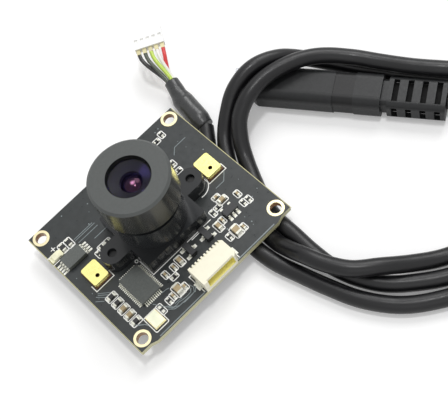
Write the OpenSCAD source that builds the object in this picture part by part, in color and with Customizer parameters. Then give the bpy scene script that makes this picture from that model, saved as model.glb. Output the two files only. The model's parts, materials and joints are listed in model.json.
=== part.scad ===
// Board-level camera: a small circuit board with a screw-in lens in a moulded holder,
// two microphones, a cable socket, and its own lead with a small plug lying in loops beside it.
// Origin: centre of the four mounting holes, on the underside of the board. +Z points out of the lens.

/* [Board] */
// Distance between the mounting holes along X
hole_pitch_x = 34; // [33:0.5:38]
// Distance between the mounting holes along Y
hole_pitch_y = 30; // [29:0.5:34]
// Diameter of the mounting holes
hole_d = 2.2; // [1.8:0.1:2.4]
// Thickness of the circuit board
board_t = 1.2; // [1:0.1:2.4]
// Board beyond the hole centres at each side
side_margin = 2; // [1.9:0.1:3]
// Board beyond the hole centres at the back
back_margin = 1.7; // [1.7:0.1:3]
// Board beyond the hole centres at the front corners
front_margin = 1.9; // [1.8:0.1:3]
// How far the middle of the front edge stands out
front_lip = 0.5; // [0.3:0.1:1.2]
// Width of the gold ring round each hole
ring_w = 0.58; // [0.4:0.02:0.6]
// Thickness of the gold rings
ring_t = 0.06; // [0.04:0.01:0.15]

/* [Lens holder] */
// Side of the square base of the holder
base_side = 14.4; // [14:0.1:15]
// Height of the square base and of the ears
base_h = 3.6; // [3.3:0.1:4.2]
// Diameter of the round tower
tower_d = 13.9; // [13.2:0.1:14.2]
// Height of the tower above the board
tower_h = 9.6; // [8:0.1:10.6]
// Diameter of the threaded bore in the tower
bore_d = 12; // [11:0.1:12.4]
// Distance between the two screws of the holder
ear_pitch = 20; // [19.6:0.1:20.6]
// Width of the ears
ear_d = 4.6; // [3.8:0.1:5]
// Diameter of the screw holes in the ears
ear_hole_d = 1.8; // [1.6:0.1:2.2]
// Side of the square pocket over the sensor
pocket_side = 11.4; // [10:0.1:12]
// Height of the pocket over the sensor
pocket_h = 2.6; // [2:0.1:2.8]
// Diameter of the window under the filter
window_d = 7; // [5:0.1:7.4]
// Side of the square filter glass
filter_side = 8.2; // [7.8:0.1:9]
// Thickness of the filter glass
filter_t = 0.4; // [0.3:0.05:0.5]
// Diameter of the heads of the holder screws
screw_head_d = 3.2; // [2.6:0.1:3.6]
// Height of the heads of the holder screws
screw_head_h = 1.1; // [0.8:0.1:1.4]

/* [Lens] */
// Length of the lens barrel
lens_l = 14.6; // [14.2:0.1:16]
// Height of the lower end of the barrel above the board
lens_z = 4.3; // [4.2:0.05:4.8]
// Diameter of the lens head
head_d = 15.3; // [14.6:0.1:16.5]
// Height of the lens head
head_h = 7.5; // [6.6:0.1:8]
// Diameter of the flat front face of the head
face_d = 14.4; // [13:0.1:14.5]
// Pitch of the thread on the barrel
thread_pitch = 0.5; // [0.4:0.05:0.75]
// Depth of the thread on the barrel
thread_depth = 0.25; // [0.1:0.05:0.4]
// Diameter of the recess in the front face
recess_d = 8.4; // [8.1:0.1:9.4]
// Depth of the recess in the front face
recess_h = 0.7; // [0.6:0.05:1]
// Diameter of the front lens
front_d = 7.86; // [7:0.02:7.9]
// Thickness of the rim of the front lens
front_t = 1.2; // [0.8:0.1:1.6]
// Height of the dome of the front lens
front_sag = 0.55; // [0.2:0.05:0.6]
// Diameter of the inner lenses, the spacer and the retaining ring
inner_d = 6.3; // [5.6:0.1:7]
// Thickness of the rim of the middle lens
middle_t = 1.3; // [0.8:0.1:1.4]
// Thickness of the rim of the rear lens
rear_t = 2.6; // [1.8:0.1:2.7]
// Length of the spacer between the inner lenses
spacer_l = 3.8; // [3:0.1:3.9]
// Thickness of the retaining ring
retainer_t = 1.2; // [0.8:0.1:1.3]
// Depth of the counterbore at the lower end of the barrel
skirt_h = 1.3; // [1:0.1:1.4]
// Thickness of the aperture stop
stop_t = 0.1; // [0.1:0.05:0.2]
// Diameter of the opening in the aperture stop
stop_hole_d = 2; // [1.2:0.1:3]

/* [Sensor] */
// Size of the sensor package along X
sensor_w = 8.2; // [7.6:0.1:9]
// Size of the sensor package along Y
sensor_l = 7.2; // [6.6:0.1:8]
// Height of the sensor package
sensor_h = 0.7; // [0.6:0.05:0.8]
// Size of the sensor chip along X
die_w = 5.4; // [4:0.1:5.6]
// Size of the sensor chip along Y
die_l = 4; // [3:0.1:4.4]
// Thickness of the sensor's glass lid
lid_t = 0.4; // [0.3:0.05:0.5]

/* [Microphones] */
// Gap between the ears of the holder and the microphones
mic_gap = 0.42; // [0.2:0.02:1]
// Distance of the microphones behind the lens axis
mic_y = 0.9; // [0.5:0.1:2]
// Width of a microphone
mic_w = 3.76; // [3.2:0.02:3.8]
// Length of a microphone
mic_l = 4.72; // [4:0.02:5]
// Height of the metal can
mic_can_h = 1; // [0.8:0.05:1.4]
// Thickness of the base under the can
mic_base_t = 0.25; // [0.2:0.05:0.4]
// Diameter of the sound port
port_d = 0.84; // [0.5:0.02:1]

/* [Chips] */
// Width of the processor body along X
proc_w = 4.6; // [4.2:0.1:4.8]
// Length of the processor body along Y
proc_l = 6.9; // [6.4:0.1:7]
// Pitch of the processor leads
proc_pitch = 0.4; // [0.36:0.02:0.42]
// Height of the top of the processor above the board
proc_h = 0.9; // [0.8:0.05:1.2]
// Width of the memory chip body along X
flash_w = 4.4; // [4:0.1:4.6]
// Length of the memory chip body along Y
flash_l = 3; // [2.8:0.1:3.2]
// Pitch of the memory chip leads
flash_pitch = 0.65; // [0.6:0.01:0.7]
// Height of the top of the memory chip above the board
flash_h = 1.1; // [0.9:0.05:1.3]
// Length of a small transistor package
sot_l = 2.9; // [2.7:0.1:3]
// Height of a small transistor package above the board
sot_h = 1.1; // [0.9:0.05:1.3]
// Length of the crystal can along Y
crystal_l = 3.2; // [3:0.1:3.4]
// Width of the crystal can along X
crystal_w = 2.5; // [2.2:0.1:2.6]
// Height of the crystal can
crystal_h = 0.7; // [0.6:0.05:0.9]

/* [Cable socket] */
// Number of ways of the socket and of the plug that fits it
ways = 5; // [4:1:5]
// Pitch of the contacts
way_pitch = 1.25; // [1.1:0.05:1.3]
// Width of the socket
socket_w = 8.2; // [7.8:0.1:8.6]
// Depth of the socket from its mouth to its back
socket_l = 4.5; // [4.2:0.1:4.6]
// Height of the socket
socket_h = 3.4; // [3:0.1:4]
// Thickness of the socket's side walls
socket_wall = 0.9; // [0.6:0.05:1]
// Thickness of the wall under the mouth
socket_floor = 1; // [0.8:0.05:1.1]
// Height of the mouth
mouth_h = 1.6; // [1.5:0.1:1.9]
// Depth of the mouth
mouth_l = 3.4; // [3:0.1:3.6]

/* [Lead] */
// Diameter of the round cable
cable_d = 3.2; // [2.8:0.1:3.2]
// Diameter of the sleeve over the end of the cable
sleeve_d = 4.4; // [3.6:0.1:4.4]
// Diameter of the single wires
wire_d = 0.8; // [0.5:0.05:0.8]
// Length of the small plug on the wires
housing_l = 4.6; // [4:0.1:6]

/* [Plug] */
// Length of the moulded body of the plug
plug_l = 25; // [22:0.5:26]
// Width of the moulded body
plug_w = 7.6; // [7.2:0.1:8]
// Thickness of the moulded body
plug_t = 5.6; // [5.4:0.1:5.8]
// Depth of the band that the fingers grip
grip_depth = 0.15; // [0.1:0.05:0.5]
// Length of the grip band
grip_l = 4; // [2:0.5:6]
// Length of the flexible strain relief
relief_l = 11; // [10.6:0.1:13]
// Width of the strain relief
relief_w = 7; // [6:0.1:7.2]
// Thickness of the strain relief
relief_t = 5; // [4.4:0.1:5.2]
// Width of the metal shell
shell_w = 6.8; // [5.8:0.1:6.8]
// Thickness of the metal shell
shell_t = 1.85; // [1.6:0.05:2.2]
// Length of the shell outside the body
shell_l = 4.8; // [4:0.1:5]

/* [Hidden] */
$fn = 64;

// Running and assembly clearances
fit = 0.05;         // between a piece and the bore or slot that it sits in
cut = 1;            // how far a cutter runs past the face that it cuts
round_fn = 24;      // facets of circles inside a hull

// Board outline
board_w = hole_pitch_x + 2 * side_margin;
left = -board_w / 2;
right = board_w / 2;
back_y = hole_pitch_y / 2 + back_margin;
corner_y = -hole_pitch_y / 2 - front_margin;
front_y = corner_y - front_lip;
corner_cut = 0.15;
tab_w = 2.3;
ramp_w = 1.4;       // from a corner tab to the lip

// Lens holder, heights above the board
filter_room = filter_t + 0.1;
filter_seat = base_h - filter_room;
filter_pocket = filter_side + 0.2;
screw_d = ear_hole_d - 2 * fit;
screw_reach = base_h - 0.7;

// Lens, heights above the lower end of the barrel
barrel_r = bore_d / 2 - fit;
front_bore_r = front_d / 2 + 0.02;
inner_r = inner_d / 2;
inner_bore_r = inner_r + fit;
skirt_r = inner_r + 1;
retainer_z = skirt_h;
rear_z = retainer_z + retainer_t;
spacer_z = rear_z + rear_t;
middle_z = spacer_z + spacer_l;
stop_z = middle_z + middle_t;
land_z = stop_z + stop_t;
land_h = 0.4;
land_r = inner_r - 0.95;
front_z = lens_l - recess_h - front_t;
head_z = lens_l - head_h;
dome_r = land_r + 0.1;      // rim of the curved faces of the inner lenses

// Places that follow from the holder, the edges and each other
mic_x = ear_pitch / 2 + ear_d / 2 + mic_gap + mic_w / 2;
proc_x = -base_side / 2 - 0.95 - proc_w / 2;
proc_y = -ear_d / 2 - 1.4 - proc_l / 2;
flash_x = left + 0.6 + 1 + flash_w / 2;
flash_y = mic_y + mic_l / 2 + 1.94 + flash_l / 2;
led_l = 2.8;
led_w = 1.4;
led_h = 0.65;
led_x = left + 0.2 + led_l / 2;
led_y = flash_y + flash_l / 2 + 0.7 + led_w / 2;
crystal_x = left + 6.05;
crystal_y = corner_y + 1 + crystal_l / 2;
row_x = left + 3.4;         // row of chips beside the processor
row_y = corner_y + 5.2;
row_pitch = 1.75;

// Sensor
die_t = 0.2;
cavity_depth = 0.35;
lid_rim = 0.3;

// Lead ends of the chips
lead_t = 0.12;
body_gap = 0.1;      // between the board and the underside of a moulded body

// Cable socket
socket_x = 1.2;
socket_front = front_y - 0.2;
socket_back = socket_front + socket_l;
mouth_w = socket_w - 2 * socket_wall;
contact_w = 0.3;
contact_t = 0.3;
contact_z = socket_floor + mouth_h / 2;
tail_l = 0.8;

// The small plug fits the socket's mouth
housing_w = mouth_w - 0.2;
housing_t = mouth_h - 0.2;
crimp_w = 0.8;
crimp_l = 1.2;

// Shared sizes of chip capacitors and resistors: length, width, height, end cap
SMALL = [1, 0.5, 0.5, 0.22];
MEDIUM = [1.6, 0.8, 0.75, 0.32];
LARGE = [2, 1.25, 1, 0.42];

// Where they stand: x, y, turn, size
CAPACITORS = [
    [row_x, row_y + 2 * row_pitch, 0, MEDIUM], [row_x, row_y + row_pitch, 0, MEDIUM],
    [-2.2, -9.1, 90, MEDIUM], [11.6, -6.1, 0, MEDIUM], [7.4, -9.6, 90, MEDIUM],
    [-3.85, -9.2, 90, SMALL], [-5.9, -9.1, 90, SMALL], [8.7, -9.2, 90, SMALL],
    [10.4, corner_y + 3.7, 90, SMALL], [11.2, -4.8, 0, SMALL], [-5, corner_y + 3.4, 90, SMALL],
    [-7.7, corner_y + 3.6, 90, SMALL], [right - 4.6, -7.4, 90, SMALL],
    [-6.25, corner_y + 3.8, 90, LARGE], [9, corner_y + 4.1, 90, LARGE]];
RESISTORS = [
    [row_x, row_y + 4 * row_pitch, 0, MEDIUM], [row_x, row_y + 3 * row_pitch, 0, MEDIUM],
    [row_x, row_y, 0, MEDIUM],
    [7.3, corner_y + 4.2, 90, SMALL], [-8.8, corner_y + 3.5, 90, SMALL], [10, -6.6, 0, SMALL],
    [8.6, -6.8, 90, SMALL], [right - 4, -9.8, 90, SMALL], [right - 5.1, -9.6, 90, SMALL],
    [-5, -10.6, 0, SMALL], [-8.8, 4.5, 0, SMALL], [-10.2, 4.5, 0, SMALL],
    [-11.5, 3.7, 90, SMALL], [10.7, 7, 90, SMALL], [10.4, 5, 0, SMALL],
    [right - 7.1, back_y - 3.6, 0, SMALL], [right - 5.4, back_y - 3.2, 90, SMALL],
    [left + 3.6, led_y + 0.5, 90, MEDIUM], [left + 5.1, led_y + 0.4, 90, MEDIUM]];

// Route of the cable from the sleeve to the plug: two and a half loose turns
ROUTE = [
    [21.2, 9.5, -1.6], [17.8, 5.1, -1.9], [14.6, 0.4, -1.9], [12.1, -4.8, -1.9],
    [10.1, -10.4, -1.9], [9.5, -16.4, -1.9], [9.9, -21.5, -1.9], [11.2, -26.5, -1.9],
    [12.7, -31.8, -1.9], [15, -38.1, -1.9], [18.9, -44, -1.9], [24.4, -48.5, -1.9],
    [30.6, -51.8, -1.9], [37.6, -53.8, -1.9], [44.8, -53.4, -1.9], [51.6, -50.6, -1.9],
    [57.4, -45.8, -1.9], [61.8, -39.8, -1.9], [64, -34, -1.9], [64.3, -28.9, -0.7],
    [62.7, -24.1, 1], [58.6, -19.2, 1.7], [55.2, -14, 1.7], [52.4, -8.8, 1.6],
    [49.4, -3.6, 2], [45.4, 0.8, 3.1], [40.8, 3.4, 4], [35, 5, 4.3],
    [30, 4.9, 3.8], [26.1, 3.8, 2], [23.4, 1.4, 0], [21.4, -1.7, -1.6],
    [19.3, -6, -1.9], [17.4, -10.5, -1.9], [16.3, -15, -1.9], [16.1, -20, -1.9],
    [15.9, -25, -1.9], [16.2, -30, -1.9], [17.6, -34.8, -1.9], [20, -39.2, -1.9],
    [23.9, -43.2, -1.9], [28.7, -46.8, -1.9], [34.5, -49.3, -1.9], [41, -49.8, -1.9],
    [47.5, -47.9, -1.9], [53.1, -43.9, -1.9], [57.4, -39, -1.9], [60.1, -33.6, -1.9],
    [61, -28.2, -1.9], [60.7, -23.2, -1.9], [58.5, -19, -1.9], [54.8, -13, -1.9],
    [51.2, -6.6, -1.9], [47.4, 0.6, -1.4], [44.3, 4.4, 0.2], [40.1, 7, 3.1],
    [34.8, 8.6, 4.3], [29.6, 8.5, 3.2], [25.6, 7.1, 0.8], [22, 4.7, -1.3],
    [19.1, 1.1, -1.9], [16.8, -3.4, -1.9], [14.7, -8, -1.9], [13.2, -12.7, -1.9],
    [12.9, -18, -1.9], [13, -21.5, -0.4], [13.6, -25.5, 1.3], [15, -30, 1.6],
    [17.3, -34, 1.5], [21, -37.1, 0.9], [25.4, -40.3, -0.6], [30.3, -43.4, -1.8],
    [35.5, -45.7, -1.9], [41.5, -46, -1.9], [47, -43.9, -1.9], [52, -39.8, -1.9],
    [55.6, -35.1, -1.9], [57.3, -30, -1.5], [56.6, -26.2, -1.1], [54.7, -23.2, -0.8]];
rest_z = -1.9 - cable_d / 2;      // surface that the lead lies on
face_gap = 0.1;                   // between the cable's ends and what they meet

// Sleeve over the cable's end: route and share of the full radius at each point
SLEEVE = [[21.25, 9.7, -1.55], [21.5, 11.6, -1.2], [21.9, 14.4, -1.15], [22.3, 17.4, -0.8],
    [22.6, 18.6, -0.4], [23, 20, 0], [23.4, 21.5, 0.3]];
SLEEVE_SHARE = [0.82, 1, 1, 0.98, 0.78, 0.74, 0.7];

// The small plug at the end of the wires
housing_back = [25.5, 29.4, 3];     // middle of its rear face
housing_turn = -30;
wire_rise = 0.18;                   // slope of the wires where they leave the sleeve

// Usb plug: its tail meets the end of the cable
plug_turn = -56.5;
neck_l = 1.2;
plug_total = plug_l + neck_l + relief_l;
plug_z = rest_z + plug_t / 2;
plug_tail = ROUTE[len(ROUTE) - 1];
plug_nose = [plug_tail[0] - (plug_total + face_gap) * cos(plug_turn),
    plug_tail[1] - (plug_total + face_gap) * sin(plug_turn), plug_z];
plug_r = 1.8;
nose_l = 0.8;
grip_x = plug_l - grip_l - 5.2;
relief_slots = 4;
relief_pitch = 2.7;
relief_slot_l = 1.1;
relief_slot_depth = 1.2;
relief_rib = 1.1;         // from the corner of the relief to the end of a slot
shell_wall = 0.3;
insert_t = 0.6;
usb_ways = 5;
usb_pitch = 0.65;

// ---------- helpers ----------

function unit(v) = v / norm(v);

// direction of a route at point i
function along(p, i) = unit(p[min(i + 1, len(p) - 1)] - p[max(i - 1, 0)]);

// one ring of a tube round point p, square to direction t
function ring(p, t, r, sides) =
    let (side = unit(cross(t, [0, 0, 1])), up = cross(side, t))
    [for (k = [0:sides - 1]) p + r * (cos(360 * k / sides) * side + sin(360 * k / sides) * up)];

// closed round tube along the points p with radius r[i] at each
module tube(p, r, sides) {
    n = len(p);
    points = [for (i = [0:n - 1]) each ring(p[i], along(p, i), r[i], sides)];
    walls = [for (i = [0:n - 2], k = [0:sides - 1])
        let (a = i * sides + k, b = i * sides + (k + 1) % sides)
        each [[a, b, b + sides], [a, b + sides, a + sides]]];
    first = [for (k = [0:sides - 1]) sides - 1 - k];
    last = [for (k = [0:sides - 1]) (n - 1) * sides + k];
    polyhedron(points, concat(walls, [first, last]), convexity = 10);
}

// rectangle with round corners, centred
module round_rect(w, h, r) {
    square([w - 2 * r, h], center = true);
    square([w, h - 2 * r], center = true);
    for (x = [-1, 1], y = [-1, 1])
        translate([x * (w / 2 - r), y * (h / 2 - r)])
            circle(r);
}

module on_board(x, y, turn = 0) {
    translate([x, y, board_t])
        rotate([0, 0, turn])
            children();
}

module block(w, l, h) {
    translate([-w / 2, -l / 2, 0])
        cube([w, l, h]);
}

// moulded chip body with a draft on all sides and a pin mark
module chip_body(w, l, top, mark = 0) {
    mid = body_gap + (top - body_gap) / 2;
    draft = 0.12;
    difference() {
        hull() {
            translate([0, 0, body_gap])
                block(w - draft, l - draft, 0.01);
            translate([0, 0, mid - lead_t / 2])
                block(w, l, lead_t);
            translate([0, 0, top - 0.01])
                block(w - draft, l - draft, 0.01);
        }
        if (mark > 0)
            translate([w / 2 - 2 * mark, l / 2 - 2 * mark, top - 0.06])
                cylinder(r = mark, h = cut);
    }
}

// gull-wing lead: leaves a chip body at y = 0 and ends on the board
module gull_lead(reach, top, w) {
    z = body_gap + (top - body_gap) / 2 + lead_t / 2;
    translate([-w / 2, 0, 0])
        rotate([90, 0, 90])
            linear_extrude(w)
                polygon([[0, z], [reach * 0.35, z], [reach * 0.6, lead_t], [reach, lead_t],
                    [reach, 0], [reach * 0.5, 0], [reach * 0.25, z - lead_t], [0, z - lead_t]]);
}

// row of n leads on the side of a body that faces the given way
module lead_row(n, pitch, out, turn, reach, top, w) {
    rotate([0, 0, turn])
        for (i = [0:n - 1])
            translate([(i - (n - 1) / 2) * pitch, out, 0])
                gull_lead(reach, top, w);
}

// cylindrical lens with a domed middle above and below
module lens_element(d, t, dome, sag_up, sag_down) {
    cylinder(d = d, h = t);
    if (sag_up > 0)
        translate([0, 0, t])
            cap(dome, sag_up);
    if (sag_down > 0)
        mirror([0, 0, 1])
            cap(dome, sag_down);
}

// cap of a ball that stands on z = 0
module cap(r, sag) {
    ball = (r * r + sag * sag) / (2 * sag);
    intersection() {
        translate([0, 0, sag - ball])
            sphere(ball);
        cylinder(r = r + cut, h = sag + cut);
    }
}

// ---------- board ----------

module circuit_board() {
    x = board_w / 2;
    outline = [[x - corner_cut, back_y], [x, back_y - corner_cut],
        [x, corner_y + corner_cut], [x - corner_cut, corner_y], [x - tab_w, corner_y],
        [x - tab_w - ramp_w, front_y]];
    left = [for (i = [len(outline) - 1:-1:0]) [-outline[i][0], outline[i][1]]];
    color([0.16, 0.17, 0.17])
        difference() {
            linear_extrude(board_t)
                polygon(concat(outline, left));
            at_mounting_holes()
                translate([0, 0, -cut])
                    cylinder(d = hole_d, h = board_t + 2 * cut);
            at_ears()
                translate([0, 0, -cut])
                    cylinder(d = ear_hole_d + 0.2, h = board_t + 2 * cut);
        }
}

module at_mounting_holes() {
    for (x = [-1, 1], y = [-1, 1])
        translate([x * hole_pitch_x / 2, y * hole_pitch_y / 2, 0])
            children();
}

module at_ears() {
    for (x = [-1, 1])
        translate([x * ear_pitch / 2, 0, 0])
            children();
}

module mounting_rings() {
    color([0.86, 0.78, 0.5])
        at_mounting_holes()
            for (z = [-ring_t, board_t])
                translate([0, 0, z])
                    difference() {
                        cylinder(d = hole_d + 2 * ring_w, h = ring_t);
                        translate([0, 0, -cut])
                            cylinder(d = hole_d + 2 * fit, h = ring_t + 2 * cut);
                    }
}

// ---------- lens holder ----------

module lens_holder() {
    color([0.12, 0.12, 0.13])
        on_board(0, 0)
            difference() {
                union() {
                    linear_extrude(base_h)
                        round_rect(base_side, base_side, 0.5);
                    cylinder(d = tower_d, h = tower_h);
                    at_ears()
                        cylinder(d = ear_d, h = base_h);
                    block(ear_pitch, ear_d, base_h);
                }
                translate([0, 0, -cut])
                    block(pocket_side, pocket_side, pocket_h + cut);
                cylinder(d = window_d, h = base_h);
                translate([0, 0, filter_seat])
                    block(filter_pocket, filter_pocket, filter_room + 0.01);
                translate([0, 0, base_h])
                    cylinder(d = bore_d, h = tower_h);
                at_ears()
                    translate([0, 0, -cut])
                        cylinder(d = ear_hole_d, h = base_h + 2 * cut);
            }
}

module holder_screws() {
    slot_w = 0.5;
    slot_depth = 0.5;
    color([0.35, 0.35, 0.37])
        at_ears()
            difference() {
                union() {
                    translate([0, 0, -screw_head_h])
                        cylinder(d = screw_head_d, h = screw_head_h);
                    cylinder(d = screw_d, h = board_t + screw_reach);
                }
                for (turn = [0, 90])
                    rotate([0, 0, turn])
                        translate([0, 0, -screw_head_h - cut])
                            block(screw_head_d * 0.6, slot_w, slot_depth + cut);
            }
}

module ir_filter() {
    color([0.55, 0.72, 0.75, 0.6])
        on_board(0, 0)
            translate([0, 0, filter_seat])
                block(filter_side, filter_side, filter_t);
}

// ---------- lens ----------

module in_lens(z) {
    translate([0, 0, board_t + lens_z + z])
        children();
}

// thread profile from the lower end of the barrel up to the head
function thread_profile() =
    let (n = floor((head_z - 0.2) / thread_pitch))
    [for (i = [0:n - 1]) each [[barrel_r - thread_depth, (i + 0.1) * thread_pitch],
        [barrel_r, (i + 0.45) * thread_pitch], [barrel_r, (i + 0.65) * thread_pitch],
        [barrel_r - thread_depth, (i + 1) * thread_pitch]]];

module lens_barrel() {
    bevel = (head_d - face_d) / 2;
    outside = concat([[barrel_r - thread_depth, 0]], thread_profile(),
        [[barrel_r - thread_depth, head_z], [head_d / 2 - 0.25, head_z],
        [head_d / 2, head_z + 0.25], [head_d / 2, lens_l - bevel], [face_d / 2, lens_l]]);
    inside = [[recess_d / 2, lens_l], [front_bore_r, lens_l - recess_h],
        [front_bore_r, front_z], [front_bore_r - 0.55, front_z],
        [land_r, land_z + land_h], [land_r, land_z], [inner_bore_r, land_z],
        [inner_bore_r, skirt_h], [skirt_r, skirt_h], [skirt_r, 0]];
    color([0.2, 0.2, 0.21])
        in_lens(0)
            rotate_extrude($fn = 96)
                polygon(concat(outside, inside));
}

module front_lens() {
    color([0.35, 0.25, 0.5, 0.6])
        in_lens(front_z)
            lens_element(front_d, front_t, front_d / 2, front_sag, 0);
}

module aperture_stop() {
    color([0.05, 0.05, 0.05])
        in_lens(stop_z)
            difference() {
                cylinder(r = inner_r, h = stop_t);
                translate([0, 0, -cut])
                    cylinder(d = stop_hole_d, h = stop_t + 2 * cut);
            }
}

module middle_lens() {
    color([0.6, 0.7, 0.75, 0.5])
        in_lens(middle_z)
            lens_element(inner_d, middle_t, dome_r, 0, 0.4);
}

module lens_spacer() {
    color([0.1, 0.1, 0.1])
        in_lens(spacer_z)
            difference() {
                cylinder(r = inner_r, h = spacer_l);
                translate([0, 0, -cut])
                    cylinder(r = dome_r + 0.1, h = spacer_l + 2 * cut);
            }
}

module rear_lens() {
    color([0.6, 0.7, 0.75, 0.5])
        in_lens(rear_z)
            lens_element(inner_d, rear_t, dome_r, 0.5, 0.5);
}

module lens_retaining_ring() {
    color([0.1, 0.1, 0.1])
        in_lens(retainer_z)
            difference() {
                cylinder(r = inner_r, h = retainer_t);
                translate([0, 0, -cut])
                    cylinder(r = dome_r + 0.1, h = retainer_t + 2 * cut);
                translate([0, 0, -cut])
                    block(inner_d + cut, 0.6, cut + 0.4);
            }
}

// ---------- sensor ----------

module sensor_package() {
    color([0.15, 0.13, 0.12])
        on_board(0, 0)
            difference() {
                block(sensor_w, sensor_l, sensor_h);
                translate([0, 0, sensor_h - cavity_depth])
                    block(die_w + 1, die_l + 1, cavity_depth + cut);
            }
}

module sensor_die() {
    color([0.45, 0.4, 0.5])
        on_board(0, 0)
            translate([0, 0, sensor_h - cavity_depth])
                block(die_w, die_l, die_t);
}

module sensor_glass() {
    color([0.7, 0.8, 0.8, 0.5])
        on_board(0, 0)
            translate([0, 0, sensor_h])
                block(sensor_w - 2 * lid_rim, sensor_l - 2 * lid_rim, lid_t);
}

// ---------- microphones ----------

module at_microphones() {
    for (x = [-1, 1])
        on_board(x * mic_x, mic_y)
            children();
}

module microphone_bases() {
    color([0.25, 0.14, 0.1])
        at_microphones()
            block(mic_w, mic_l, mic_base_t);
}

module microphone_cans() {
    wall = 0.15;
    rim = 0.12;
    corner_r = 0.5;
    port_y = -mic_l * 0.19;
    color([0.95, 0.85, 0.5])
        at_microphones()
            translate([0, 0, mic_base_t])
                difference() {
                    linear_extrude(mic_can_h)
                        round_rect(mic_w - 2 * rim, mic_l - 2 * rim, corner_r);
                    translate([0, 0, -cut])
                        linear_extrude(mic_can_h - wall + cut)
                            offset(-wall)
                                round_rect(mic_w - 2 * rim, mic_l - 2 * rim, corner_r);
                    translate([0, port_y, 0])
                        cylinder(d = port_d, h = mic_can_h + cut);
                }
}

// ---------- chips ----------

module at_processor() {
    on_board(proc_x, proc_y)
        children();
}

module processor() {
    color([0.22, 0.22, 0.23])
        at_processor()
            chip_body(proc_w, proc_l, proc_h, 0.25);
}

module processor_leads() {
    reach = 0.45;
    w = 0.18;
    long_n = 16;
    short_n = 10;
    color([0.75, 0.75, 0.74])
        at_processor()
            for (half = [0, 180]) {
                lead_row(long_n, proc_pitch, proc_w / 2, half + 90, reach, proc_h, w);
                lead_row(short_n, proc_pitch, proc_l / 2, half, reach, proc_h, w);
            }
}

module at_flash() {
    on_board(flash_x, flash_y)
        children();
}

module flash_memory() {
    color([0.13, 0.13, 0.14])
        at_flash()
            chip_body(flash_w, flash_l, flash_h, 0.2);
}

module flash_leads() {
    color([0.75, 0.75, 0.74])
        at_flash()
            for (half = [90, 270])
                lead_row(4, flash_pitch, flash_w / 2, half, 1, flash_h, 0.25);
}

module at_crystal() {
    on_board(crystal_x, crystal_y)
        children();
}

crystal_base_share = 0.6;

module crystal_base() {
    color([0.85, 0.72, 0.35])
        at_crystal()
            block(crystal_w, crystal_l, crystal_h * crystal_base_share);
}

module crystal_lid() {
    color([0.88, 0.88, 0.84])
        at_crystal()
            translate([0, 0, crystal_h * crystal_base_share])
                block(crystal_w - 0.3, crystal_l - 0.3, crystal_h * (1 - crystal_base_share));
}

// small packages: x, y, turn
REGULATOR = [11, -9, 0];
TRANSISTORS = [[4.65, -9.1, -90], [0.5, -9.05, 90]];
sot_pitch = 0.95;
sot_reach = 0.55;
sot_w = 1.3;
regulator_w = 1.6;
sot_lead_w = 0.4;

module regulator() {
    color([0.13, 0.13, 0.14])
        on_board(REGULATOR[0], REGULATOR[1], REGULATOR[2])
            chip_body(sot_l, regulator_w, sot_h);
}

module regulator_leads() {
    color([0.75, 0.75, 0.74])
        on_board(REGULATOR[0], REGULATOR[1], REGULATOR[2]) {
            lead_row(3, sot_pitch, regulator_w / 2, 180, sot_reach, sot_h, sot_lead_w);
            lead_row(2, 2 * sot_pitch, regulator_w / 2, 0, sot_reach, sot_h, sot_lead_w);
        }
}

module transistors() {
    color([0.13, 0.13, 0.14])
        for (t = TRANSISTORS)
            on_board(t[0], t[1], t[2])
                chip_body(sot_l, sot_w, sot_h);
}

module transistor_leads() {
    color([0.75, 0.75, 0.74])
        for (t = TRANSISTORS)
            on_board(t[0], t[1], t[2]) {
                lead_row(2, 2 * sot_pitch, sot_w / 2, 0, sot_reach, sot_h, sot_lead_w);
                lead_row(1, sot_pitch, sot_w / 2, 180, sot_reach, sot_h, sot_lead_w);
            }
}

module chip_middles(list, h_share) {
    for (c = list) {
        size = c[3];
        on_board(c[0], c[1], c[2])
            block(size[0] - 2 * size[3], size[1] - 0.04, size[2] * h_share);
    }
}

module capacitors() {
    color([0.72, 0.62, 0.48])
        chip_middles(CAPACITORS, 0.96);
}

module resistors() {
    color([0.12, 0.12, 0.12])
        chip_middles(RESISTORS, 0.6);
}

module end_pair(c, h) {
    size = c[3];
    on_board(c[0], c[1], c[2])
        for (side = [-1, 1])
            translate([side * (size[0] - size[3]) / 2, 0, 0])
                block(size[3], size[1], h);
}

module chip_ends() {
    color([0.8, 0.8, 0.78]) {
        for (c = CAPACITORS)
            end_pair(c, c[3][2]);
        for (c = RESISTORS)
            end_pair(c, c[3][2] * 0.62);
    }
}

module status_led() {
    color([0.95, 0.94, 0.85])
        on_board(led_x, led_y)
            union() {
                block(led_l, led_w, led_h * 0.45);
                block(led_l * 0.6, led_w, led_h);
            }
}

// ---------- cable socket ----------

module at_socket() {
    translate([socket_x, socket_front, board_t])
        children();
}

// bent contact: blade in the mouth, then down behind the back wall to the board
module contact(grow) {
    w = contact_w + 2 * grow;
    blade_y = socket_l - mouth_l;
    down_y = socket_l - 0.35;
    translate([-w / 2, blade_y, contact_z - contact_t / 2 - grow])
        cube([w, down_y - blade_y + contact_t + grow, contact_t + 2 * grow]);
    translate([-w / 2, down_y - grow, -grow])
        cube([w, contact_t + 2 * grow, contact_z + contact_t / 2 + grow]);
    translate([-w / 2, down_y - grow, -grow])
        cube([w, contact_t + tail_l + 2 * grow, 0.2 + 2 * grow]);
}

module at_ways() {
    for (i = [0:ways - 1])
        translate([(i - (ways - 1) / 2) * way_pitch, 0, 0])
            children();
}

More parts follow.
